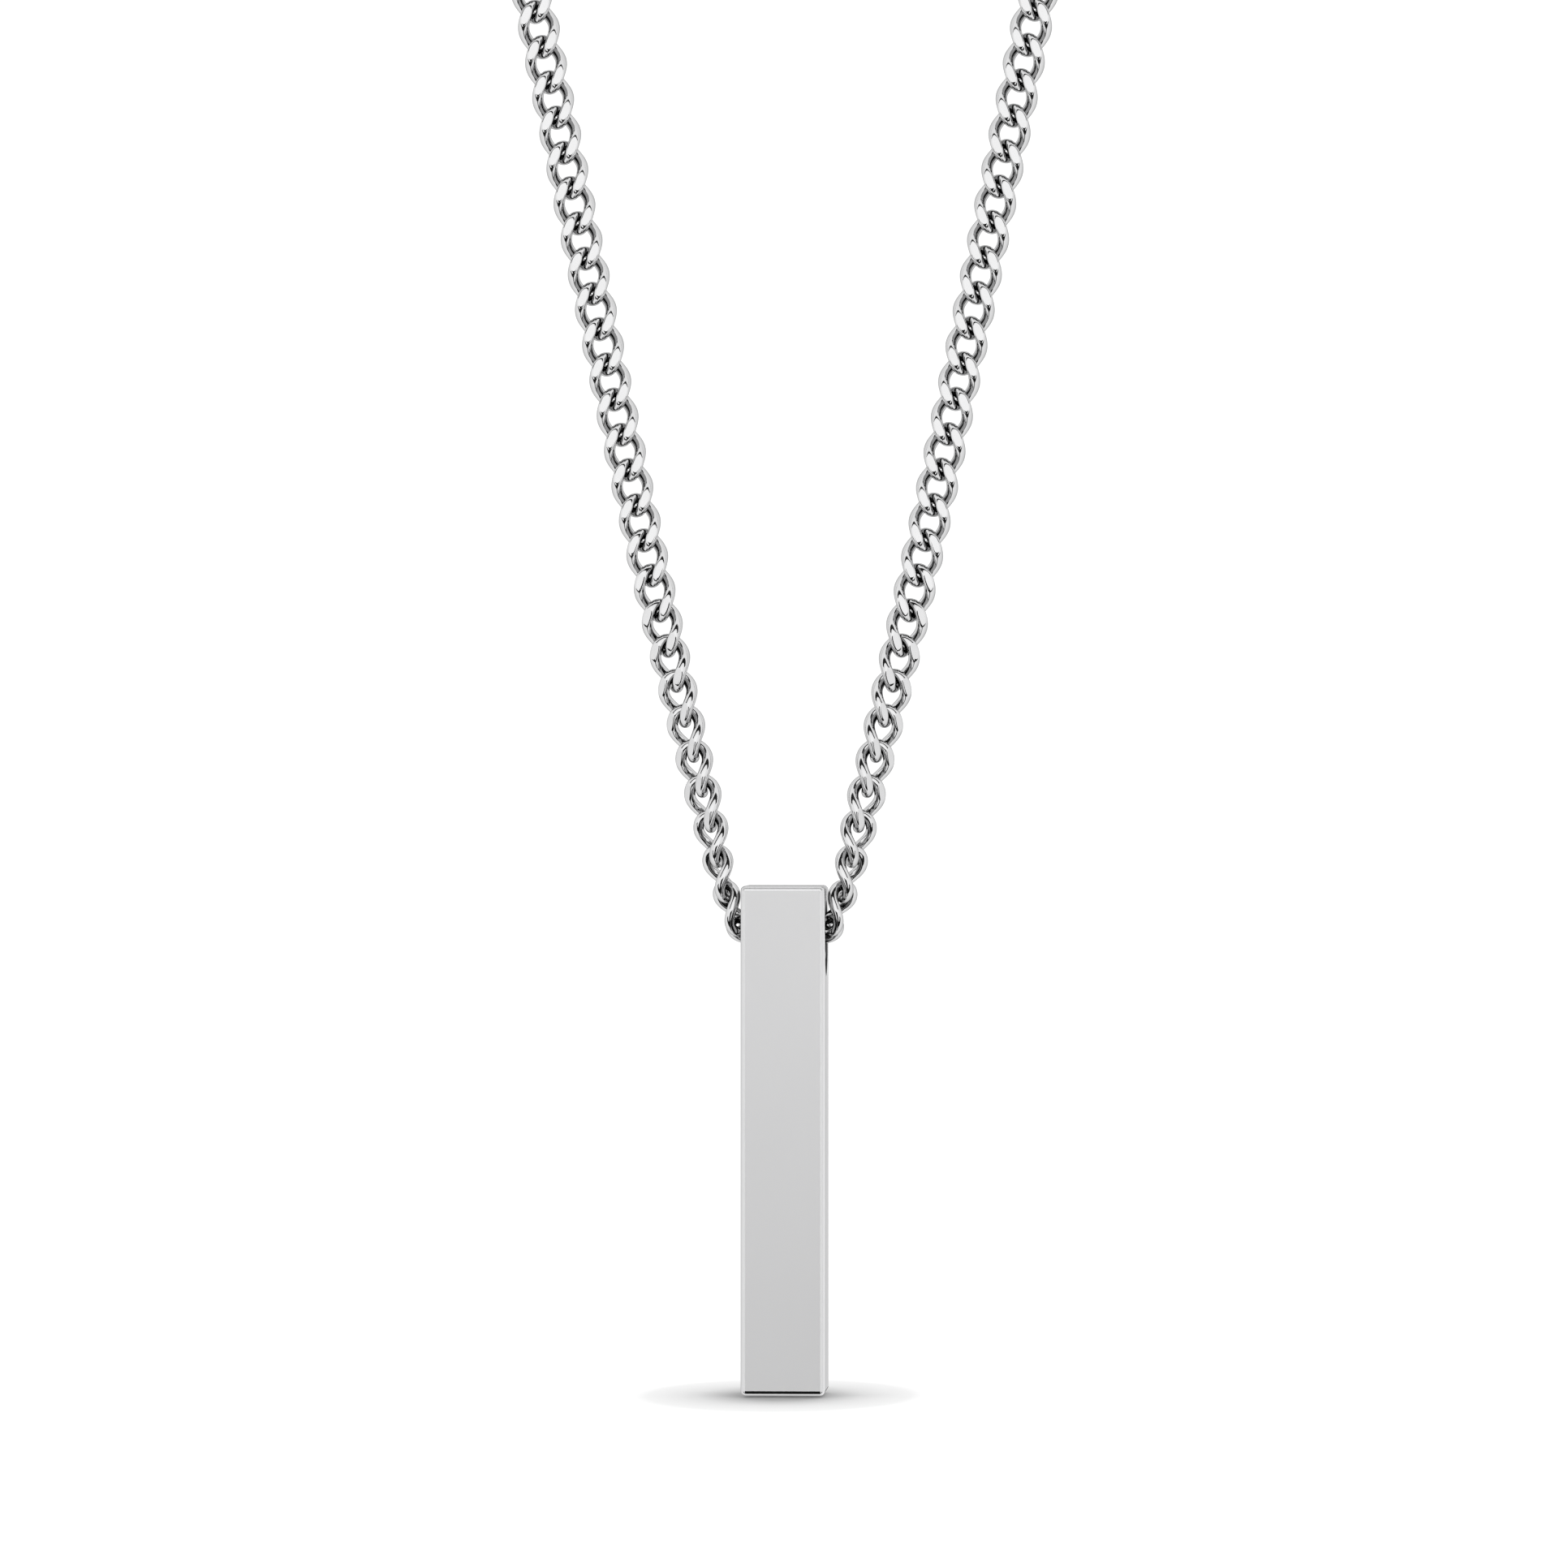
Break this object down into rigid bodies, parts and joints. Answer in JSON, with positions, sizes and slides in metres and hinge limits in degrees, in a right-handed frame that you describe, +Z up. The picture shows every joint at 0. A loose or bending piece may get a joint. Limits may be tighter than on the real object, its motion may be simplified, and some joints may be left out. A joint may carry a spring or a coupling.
{
  "type": "bar pendant",
  "caption": "Square steel bar pendant with a slot through its top, hanging on a closed neck chain of flat curb links with a plain clasp.",
  "frame": {"origin": "top of the chain, in the middle of the clasp, where the necklace hangs at the back of the neck", "axes": "+Z up, X across the wearer, and the front looks along +Y, so a viewer in front stands on the -Y side"},
  "size_m": [0.09, 0.006, 0.2771],
  "materials": {
    "satin_steel": "satin",
    "polished_steel": "polished"
  },
  "bodies": {
    "necklace": {"chain_left": "polished_steel", "chain_right": "polished_steel", "neck_chain_left": "polished_steel", "neck_chain_right": "polished_steel", "middle_link": "polished_steel", "jump_ring_left": "polished_steel", "jump_ring_right": "polished_steel", "clasp": "polished_steel"},
    "bar": {"bar": "satin_steel"}
  },
  "joints": [
    {"name": "bar_swing", "type": "hinge", "parent": "necklace", "child": "bar", "pos_m": [0, 0, -0.23934], "axis": [1, 0, 0], "range_deg": [-7, 7]}
  ]
}
